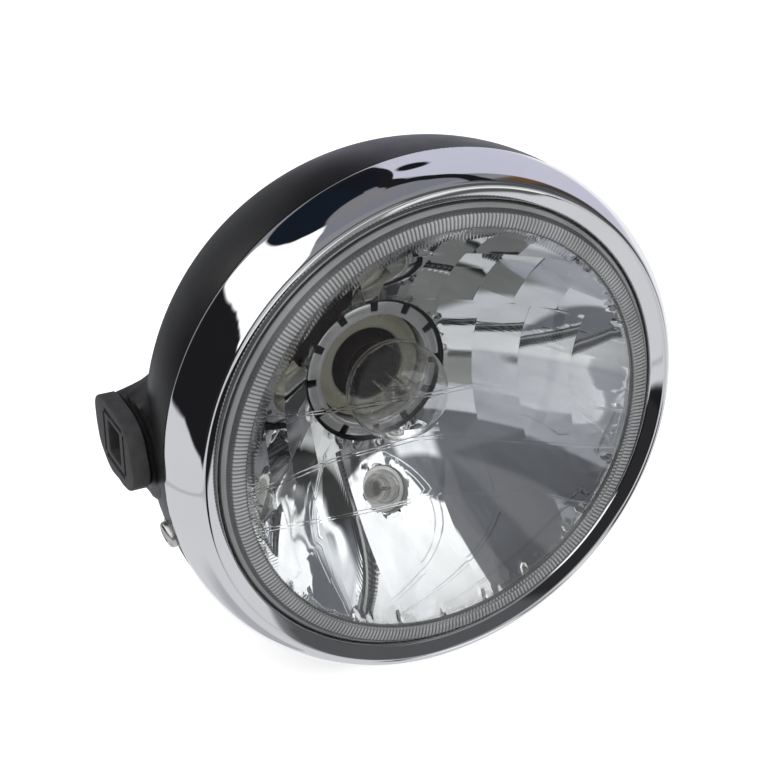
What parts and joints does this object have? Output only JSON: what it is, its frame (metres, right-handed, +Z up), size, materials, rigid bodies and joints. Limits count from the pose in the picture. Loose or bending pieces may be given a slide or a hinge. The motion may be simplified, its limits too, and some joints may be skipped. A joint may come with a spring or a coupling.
{
  "type": "motorcycle headlight",
  "caption": "Round motorcycle headlight: black bucket with side bolt bosses, chromed rim, clear fluted-edge lens, stepped reflector, main bulb and small pilot bulb.",
  "frame": {"origin": "where the axis of the two side bolts crosses the lens axis", "axes": "-Y is the way the lamp shines, +X is to the right seen from the front, +Z is up"},
  "size_m": [0.1932, 0.1086, 0.18],
  "materials": {
    "shell_black": "satin black moulded plastic with a fine grain",
    "rim_chrome": "bright chrome plate",
    "zinc_steel": "bright zinc plate",
    "black_steel": "black painted steel",
    "lens_glass": "clear pressed glass",
    "sealant": "grey bonding bead",
    "mirror_coat": "aluminised and lacquered",
    "seat_chrome": "bright plated sheet",
    "pale_metal": "pale matte plate",
    "brass": "drawn brass",
    "bulb_glass": "clear blown glass",
    "stem_glass": "clear lead glass",
    "nickel_wire": "drawn nickel wire",
    "tungsten": "coiled tungsten wire",
    "socket_black": "black phenolic moulding",
    "spring_steel": "plated spring wire",
    "rubber_black": "black moulded rubber",
    "holder_plastic": "pale grey moulding",
    "pad_rubber": "dark hard rubber",
    "dark_zinc": "dark zinc plate"
  },
  "bodies": {
    "root": {"shell": "shell_black", "rim": "rim_chrome", "rim_bracket_left": "zinc_steel", "rim_bracket_right": "zinc_steel", "rim_top_hook": "zinc_steel", "rim_nut_left": "zinc_steel", "rim_nut_right": "zinc_steel", "rim_screw_left": "zinc_steel", "rim_screw_right": "zinc_steel", "rim_washer_left": "zinc_steel", "rim_washer_right": "zinc_steel", "rim_tabs": "zinc_steel", "unit_ring": "black_steel", "ring_screws": "zinc_steel", "lens": "lens_glass", "lens_seal": "sealant", "reflector": "mirror_coat", "bulb_seat_ring": "seat_chrome", "bulb_flange": "pale_metal", "bulb_cap": "brass", "bulb_glass": "bulb_glass", "bulb_stem": "stem_glass", "bulb_leads": "nickel_wire", "bulb_filaments": "tungsten", "filament_shield": "pale_metal", "bulb_socket": "socket_black", "socket_terminals": "brass", "lock_spring": "spring_steel", "dust_boot": "rubber_black", "pilot_holder": "holder_plastic", "pilot_glass": "bulb_glass", "pilot_filament": "tungsten", "pilot_terminals": "brass", "mount_pad_left": "pad_rubber", "mount_pad_right": "pad_rubber", "mount_nut_left": "dark_zinc", "mount_nut_right": "dark_zinc", "wiring_grommet": "rubber_black"}
  },
  "joints": []
}
